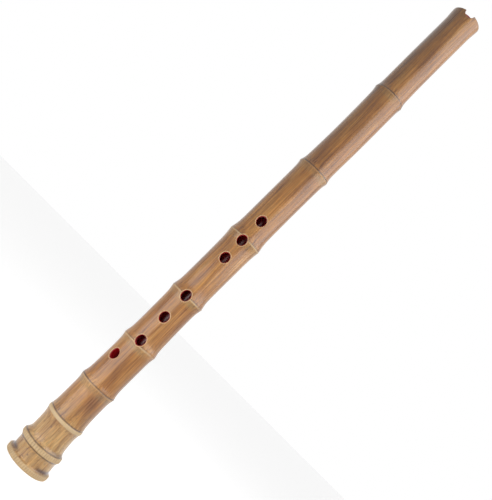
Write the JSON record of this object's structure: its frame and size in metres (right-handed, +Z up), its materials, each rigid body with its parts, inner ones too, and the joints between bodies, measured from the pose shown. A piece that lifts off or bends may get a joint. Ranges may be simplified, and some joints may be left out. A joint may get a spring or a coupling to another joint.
{
  "type": "end-blown bamboo flute",
  "caption": "Thick-walled root-end bamboo flute, end-blown through a half-round notch, with oval finger holes in front, a thumb hole behind and a red-lacquered bore.",
  "frame": {"origin": "centre of the flat face of the root end, on which the flute stands", "axes": "+Z up the flute from the root end to the mouth, the front finger holes and the notch face -Y, the little finger's hole is turned towards -X"},
  "size_m": [0.0453, 0.0452, 0.56],
  "materials": {
    "bamboo": "polished golden-brown bamboo with paler root rings",
    "septum": "pale sanded bamboo node",
    "lacquer": "glossy red lacquer"
  },
  "bodies": {
    "root": {"culm": "bamboo", "mouth_septum": "septum", "bore_lacquer": "lacquer"}
  },
  "joints": []
}
